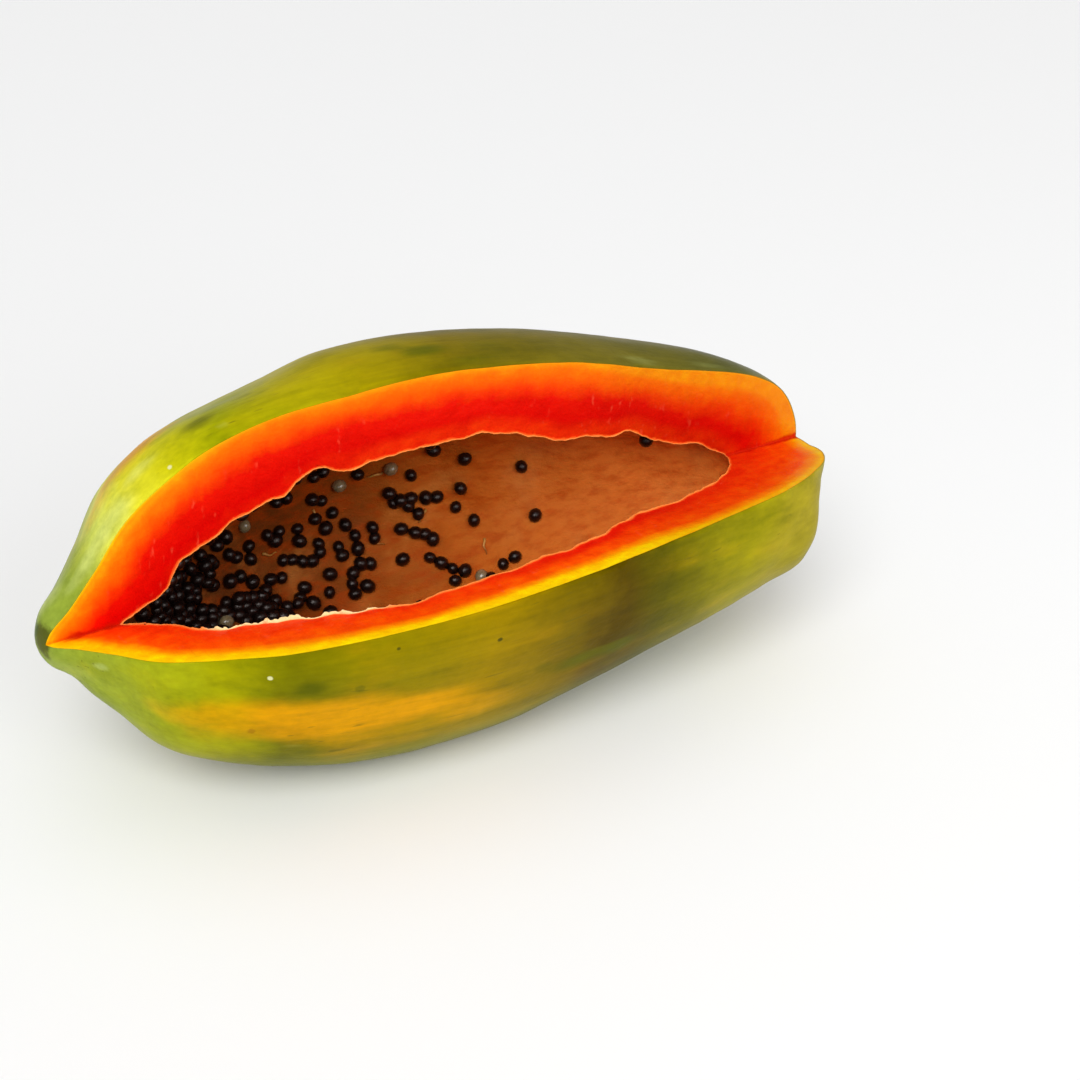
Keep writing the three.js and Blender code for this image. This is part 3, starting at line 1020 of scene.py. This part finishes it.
def stretch(value, start, end, low=0.0, high=1.0):
    """Goes smoothly from low to high while the value goes from start to end."""
    return add_node(value.id_data, "MapRange", {"interpolation_type": "SMOOTHSTEP"}, Value=value,
                    From_Min=start, From_Max=end, To_Min=low, To_Max=high).outputs[0]


def colour(red, green, blue):
    """A colour as a screen shows it, 0 to 255, as the light values that Blender mixes."""
    return tuple(
        (c / 255 / 12.92) if c <= 10.3 else ((c / 255 + 0.055) / 1.055) ** 2.4 for c in (red, green, blue)
    ) + (1,)


def factors(red, green, blue):
    """What another colour's light values are multiplied by."""
    return red, green, blue, 1


def mix(share, first, second, blend="MIX"):
    socket = next(value for value in (share, first) if isinstance(value, bpy.types.NodeSocket))
    made = add_node(socket.id_data, "Mix", {"data_type": "RGBA", "blend_type": blend})
    for number, value in ((0, share), (6, first), (7, second)):
        connect(made.inputs[number], value)
    return made.outputs[2]


def ramp(value, stops, light_of=colour):
    """A colour for each value; a stop is a value and its red, green and blue."""
    made = add_node(value.id_data, "ValToRGB", Fac=value)
    elements = made.color_ramp.elements
    while len(elements) < len(stops):
        elements.new(0.5)
    for element, (at, *shade) in zip(elements, stops):
        element.position, element.color = at, light_of(*shade)
    return made.outputs[0]


def own_value(tree, name):
    """One of the distances that the points keep."""
    return add_node(tree, "Attribute", {"attribute_name": name}).outputs["Fac"]


def share_along(uneven):
    """How far along the fruit, from 0 to 1, shifted by some noise."""
    return plus(arithmetic("DIVIDE", own_value(uneven.id_data, "along"), LENGTH), uneven)


def object_place(tree, stretched=(1, 1, 1)):
    coordinates = tree.nodes.new("ShaderNodeTexCoord").outputs["Object"]
    return add_node(tree, "Mapping", Vector=coordinates, Scale=stretched).outputs[0]


def mottle(place, size, detail=3.0, roughness=0.55):
    """Soft noise from 0 to 1 whose blotches are about size metres."""
    return add_node(place.id_data, "TexNoise", Vector=place, Scale=1 / size, Detail=detail,
                    Roughness=roughness).outputs[0]


def swing(*noise_settings):
    """The same noise, but around 0, to shift another value with."""
    return arithmetic("SUBTRACT", mottle(*noise_settings), 0.5)


def cover(shader, shade, height, distance, strength):
    """Gives a finish its colour and its fine relief, distance metres high."""
    bump = add_node(shader.id_data, "Bump", Height=height, Distance=distance, Strength=strength)
    feed(shader, Base_Color=shade, Normal=bump.outputs[0])


# %% [markdown]
# ## The finish of the flesh
#
# The share of the way from the skin to the hollow picks the colour: yellow by the skin, then orange, then
# deep red by the hollow. The front cut is yellower for longer. Noise shifts the share, which gives the soft
# cloudy borders of real flesh. A dark red line of painted shade runs along the crease, where the two cuts
# meet, and painted shade darkens the stem end. All distances are in millimetres, as the points keep them, and
# the sizes of the noise are in metres.

# %% Finish the flesh
flesh_finish, tree, shader = start_finish(
    "ripe_flesh", 0.42, **JUICY, Specular_IOR_Level=0.12, Specular_Tint=(1, 0.55, 0.3, 1))
place = object_place(tree)
skin_depth, hollow_depth = own_value(tree, "skin_depth"), own_value(tree, "hollow_depth")
along, on_front = own_value(tree, "along"), own_value(tree, "front_cut")


def fibre_place(depth_scale):
    """A place for noise that follows the fruit's length and the depth under its skin."""
    return add_node(along.id_data, "CombineXYZ", X=times(along, MM), Y=on_front,
                    Z=times(skin_depth, depth_scale)).outputs[0]


cloud, blot = swing(place, 0.014, 4), swing(place, 0.006, 3)
fibre = swing(fibre_place(0.0003), 0.0032, 3)
uneven = plus(times(cloud, 0.3), times(fibre, 0.1), times(blot, 0.2))
uneven = times(uneven, stretch(on_front, 0, 1, 1.15, 0.45))
share = arithmetic("DIVIDE", skin_depth, plus(skin_depth, hollow_depth))
share = plus(share, times(uneven, stretch(share, 0.08, 0.4)))

# The rear face, a little paler by the hollow past the middle.
thick_ends = plus(stretch(along, 195, 265, 0, 0.16), stretch(along, 25, 85, 0.09, 0))
rear = ramp(arithmetic("SUBTRACT", share, thick_ends), [
    (0.0, 250, 150, 8), (0.08, 250, 118, 4), (0.22, 248, 92, 3), (0.36, 240, 56, 3), (0.5, 226, 15, 3),
    (0.8, 215, 3, 2), (1.0, 220, 16, 3),
])
by_hollow = times(stretch(along, 95, 135, 0, 0.6), stretch(hollow_depth, 3, 9, 1, 0))
rear = mix(by_hollow, rear, colour(240, 52, 6))

# The front face, with a red band by the hollow and a yellow tip.
right_band = plus(stretch(along, 110, 170, 0, -0.07), stretch(along, 200, 250, 0, 0.22))
front = ramp(plus(share, right_band), [
    (0.0, 255, 222, 6), (0.17, 254, 204, 2), (0.28, 253, 146, 2), (0.42, 250, 84, 2), (0.75, 246, 60, 3),
    (1.0, 240, 52, 6),
])
red_band = times(stretch(along, 135, 185, 0, 0.8), stretch(hollow_depth, 2.5, 8, 1, 0))
front = mix(times(red_band, stretch(along, 225, 260, 1, 0.3)), front, colour(226, 8, 4))
yellow_tip = times(on_front, stretch(along, 12, 46, 0.85, 0), stretch(skin_depth, 2.5, 11, 1, 0))
front = mix(yellow_tip, front, colour(255, 196, 4))
flesh_colour = mix(on_front, rear, front)

# Blots and pale strands on both, and painted shade that darkens the stem end.
patchy = ramp(plus(blot, 0.5), [(0.3, 0.86, 0.5, 0.5), (0.5, 1, 1, 1), (0.72, 1.04, 1.9, 1.2)], factors)
flesh_colour = mix(stretch(share, 0.15, 0.5, 0.3, 0.8), flesh_colour, patchy, "MULTIPLY")
strand = stretch(mottle(fibre_place(0.00045), 0.003, 2), 0.6, 0.72, 0, 0.34)
strand = times(strand, stretch(cloud, -0.06, 0.1), stretch(share, 0.3, 0.5))
flesh_colour = mix(strand, flesh_colour, colour(255, 104, 70))
# Painted shade: both cut faces are multiplied darker towards the stem end.
flesh_colour = mix(stretch(along, 185, 240), flesh_colour, factors(0.82, 0.78, 0.7), "MULTIPLY")

# The yellow line by the skin, the pale torn edge by the hollow, and a dark red painted shade along the crease.
yellower = arithmetic("MAXIMUM", on_front, stretch(along, 20, 100, 1, 0))
rim = mix(yellower, colour(248, 148, 8), colour(250, 204, 8))
rim = mix(stretch(along, 190, 250), rim, colour(232, 146, 8))
flesh_colour = mix(stretch(skin_depth, 0.2, 1.1, 0.7, 0), flesh_colour, rim)
torn = plus(hollow_depth, times(fibre, 2.0))
flesh_colour = mix(stretch(torn, 0.1, 0.9, 0.6, 0), flesh_colour, colour(255, 120, 40))
# Painted shade: a dark red line along the crease, where the two cut faces meet in a hollow corner.
painted_crease_shade = plus(own_value(tree, "crease_depth"), times(blot, 5.0))
painted_crease_shade = times(stretch(painted_crease_shade, 0.3, 2.6, 0.95, 0), stretch(along, 4, 16, 0.25, 1))
flesh_colour = mix(painted_crease_shade, flesh_colour, colour(196, 22, 2))
cover(shader, flesh_colour, plus(mottle(place, 0.0018, 4), times(fibre, 0.6)), 0.0005, 0.6)
print("nodes of the flesh's finish:", len(tree.nodes))

# %% [markdown]
# ## The finish of the peel
#
# A papaya ripens from green to yellow in patches. A ramp along the fruit gives the ground colour, from pale
# lime at the tip through olive to grey-green at the stem; on the front its dark band is partly painted shadow
# of a slice that isn't in the scene. The top has its own ramp, paler at the tip with painted sheen, and the
# underside turns a greyer green, a painted reflection of the pale table. The attributes add the yellow blush,
# the dark green smudges and the pale bloom, which is partly painted sheen, and noise drawn out along the fruit
# breaks all of it up into streaks. Two pale marks are painted glints on small drops of latex.

# %% Finish the peel
# Each layer: its attribute, how much patches and streaks shift it, from where to where it fades in, how
# strong it gets, and its colour.
PEEL_LAYERS = [
    ("blush", 0.6, 0.8, (0.0, 1.0), 0.96, (212, 148, 0)),
    ("dark_green", 0, 0.8, (0.15, 0.95), 0.85, (84, 88, 2)),
    ("pale_bloom_and_sheen", 0, 0.7, (0.1, 1.1), 0.65, (206, 216, 130)),
]
# Marks on the skin: dark spots and scars, and two pale ones that are painted glints on small drops of dried
# latex.
PEEL_MARKS_AND_GLINTS = [  # along, degrees round, radius in millimetres, strength and colour
    (1.5, 40, 7.5, 0.85, (70, 70, 18)), (1, 120, 5, 0.6, (60, 84, 24)), (66, 1, 1.1, 0.75, (226, 226, 170)),
    (147, 358, 1.4, 0.9, (64, 62, 10)), (52, 78, 1.1, 0.7, (226, 226, 180)),
    (109, 4, 1.0, 0.8, (60, 60, 12)), (96, 352, 2.4, 0.4, (70, 80, 10)), (60, 336, 2.0, 0.4, (130, 70, 10)),
    (120, 120, 2.2, 0.8, (70, 60, 16)), (200, 250, 1.8, 0.8, (80, 66, 20)), (313, 0, 9, 0.8, (104, 84, 40)),
    (309, 31, 3.2, 0.85, (78, 64, 30)),
]
MARK_CORE, MARK_RAGGED = 0.5, 1.1  # shares of a mark's radius: its full middle, its uneven edge
peel_finish, tree, shader = start_finish(
    "waxy_peel", 0.36, Specular_IOR_Level=0.04, Specular_Tint=(1, 0.92, 0.2, 1))
place, streaked = object_place(tree), object_place(tree, (0.12, 1, 1))
patches, spotted = swing(place, 0.03, 4), swing(place, 0.0045, 5, 0.65)
streaks, fine = swing(streaked, 0.011, 4), swing(streaked, 0.0022, 2)
share = share_along(times(patches, 0.12))
# The front's ramp. Its dark band from 0.58 to 0.7 is partly the skin's own dark green and partly a painted
# shadow of a slice that isn't in the scene.
front_colour_and_shadow = ramp(share, [
    (0.0, 134, 152, 54), (0.04, 140, 156, 48), (0.09, 152, 158, 18), (0.15, 150, 148, 2),
    (0.22, 108, 106, 0), (0.33, 130, 116, 0), (0.46, 146, 120, 0), (0.58, 112, 92, 0), (0.63, 82, 64, 0),
    (0.7, 88, 82, 2), (0.83, 146, 138, 10), (0.95, 160, 144, 30), (1.0, 146, 140, 50),
])
# The top's ramp: its own colours, and paler at the tip with painted sheen where the light catches it.
top_colour_and_sheen = ramp(share, [
    (0.0, 174, 214, 150), (0.05, 212, 226, 112), (0.11, 214, 208, 44), (0.17, 190, 184, 10),
    (0.23, 150, 152, 2), (0.3, 170, 158, 4), (0.4, 154, 138, 2), (0.5, 118, 102, 4), (0.75, 104, 96, 26),
    (0.88, 90, 88, 34), (1.0, 108, 110, 64),
])
peel_colour = mix(own_value(tree, "topside"), front_colour_and_shadow, top_colour_and_sheen)
# Painted reflection: the underside turns a greyer green, as if lit by light bouncing from the pale table.
below = stretch(own_value(tree, "underside"), 0.1, 1.0, 0, 0.75)
peel_colour = mix(below, peel_colour, colour(120, 128, 36))
for name, patchy, streaky, (start, full), strength, shade in PEEL_LAYERS:
    layer = plus(own_value(tree, name), times(patches, patchy), times(streaks, streaky))
    peel_colour = mix(stretch(layer, start, full, 0, strength), peel_colour, colour(*shade))
light_and_dark = ramp(plus(times(streaks, 0.55), times(fine, 0.26), times(spotted, 0.24), 0.5), [
    (0.2, 0.5, 0.56, 0.4), (0.5, 1, 1, 1), (0.8, 1.4, 1.38, 1.4)], factors)
peel_colour = mix(1.0, peel_colour, light_and_dark, "MULTIPLY")
scratch = stretch(mottle(object_place(tree, (0.06, 1, 1)), 0.0016, 1), 0.66, 0.74, 0, 0.5)
peel_colour = mix(times(scratch, stretch(patches, -0.05, 0.15)), peel_colour, colour(88, 84, 20))
for at, degrees, radius, strength, shade in PEEL_MARKS_AND_GLINTS:
    measure = add_node(tree, "VectorMath", {"operation": "DISTANCE"}, Vector=place)
    connect(measure.inputs[1], skin_point(at, math.radians(degrees), value_at(skin_line, at)) * MM)
    far = plus(measure.outputs["Value"], times(spotted, MARK_RAGGED * radius * MM))
    mark_and_glint = stretch(far, MARK_CORE * radius * MM, radius * MM, strength, 0)
    peel_colour = mix(mark_and_glint, peel_colour, colour(*shade))
cover(shader, peel_colour, mottle(place, 0.0016, 3), 0.0003, 0.35)
print("nodes of the peel's finish:", len(tree.nodes))

# %% [markdown]
# ## The finishes of the hollow
#
# The lining is a smooth salmon skin with fine veins, pale where its torn fringe stands up, and browner and
# darker towards the tip with painted shade. The seeds are nearly black and wet, and a few still have their
# milky coat.

# %% Finish the lining and the seeds
lining_finish, tree, shader = start_finish(
    "salmon_lining", 0.5, **JUICY, Specular_IOR_Level=0.14, Specular_Tint=(1, 0.7, 0.45, 1))
veins, blotches = swing(object_place(tree, (0.4, 1, 1)), 0.004, 4), swing(object_place(tree), 0.02, 3)
# Darker and browner towards the tip: painted shade deep in the hollow and among the crowded seeds.
lining_colour_and_shade = ramp(share_along(times(blotches, 0.25)), [
    (0.15, 88, 42, 12), (0.3, 122, 56, 13), (0.42, 156, 74, 18), (0.56, 210, 106, 30), (0.8, 232, 126, 48)])
lining_colour_and_shade = mix(stretch(veins, -0.12, 0.22, 0, 0.6), lining_colour_and_shade, colour(188, 66, 2))
lining_colour_and_shade = mix(stretch(blotches, 0.0, 0.3, 0, 0.45), lining_colour_and_shade, colour(222, 140, 66))
fringe = own_value(tree, "fringe")
lining_colour_and_shade = mix(stretch(fringe, 0.1, 0.5), lining_colour_and_shade, colour(250, 140, 66))
lining_colour_and_shade = mix(stretch(fringe, 0.6, 0.95), lining_colour_and_shade, colour(255, 222, 160))
cover(shader, lining_colour_and_shade, mottle(object_place(tree, (0.5, 1, 1)), 0.002, 5, 0.65), 0.0009, 0.8)


def bead_finish(name, roughness, size, dark, pale, **inputs):
    """Two mottled shades under a wet surface."""
    finish, tree, shader = start_finish(name, roughness, **inputs)
    tone = ramp(mottle(object_place(tree), size), [(0.3, *dark), (0.7, *pale)])
    cover(shader, tone, mottle(object_place(tree), 0.0009, 2), 0.0004, 0.6)
    return finish


seed_finish = bead_finish(
    "wet_seed", 0.3, 0.003, (11, 5, 4), (32, 14, 10), Specular_IOR_Level=0.3,
    Specular_Tint=(1, 0.86, 0.8, 1), Coat_Weight=0.22, Coat_Roughness=0.16)
coated_finish = bead_finish(
    "milky_seed", 0.15, 0.002, (112, 94, 64), (156, 138, 104), Coat_Weight=1.0, Coat_Roughness=0.06)
thread_finish, tree, shader = start_finish(
    "pale_thread", 0.5, Subsurface_Weight=0.15, Subsurface_Scale=0.002)
tone = ramp(mottle(object_place(tree), 0.003), [(0.35, 168, 100, 34), (0.65, 214, 160, 74)])
feed(shader, Base_Color=tone)
print("finishes:", [finish.name for finish in bpy.data.materials])

# %% Put the pieces in place
make_piece("flesh", flesh_body, flesh_finish)
thicken(make_piece("peel", peel, peel_finish), PEEL_THICK)
thicken(make_piece("lining", lining, lining_finish), LINING_THICK)
make_piece("dark_seeds", dark_seeds, seed_finish)
make_piece("milky_seeds", coated_seeds, coated_finish)
make_piece("threads", threads, thread_finish)

# %% [markdown]
# ## The table
#
# A pale disc stands for the table. It isn't part of the fruit.

# %% Lay the table
TABLE_RADIUS, TABLE_SHADE = 6, (0.9, 0.9, 0.9, 1)  # metres, and a pale grey

disc = bmesh.new()
bmesh.ops.create_circle(disc, cap_ends=True, segments=96, radius=TABLE_RADIUS)
table = add_object("table", mesh_of(disc, "table"))
disc.free()
table_finish, tree, shader = start_finish("pale_table", 0.7, Base_Color=TABLE_SHADE)
table.data.materials.append(table_finish)
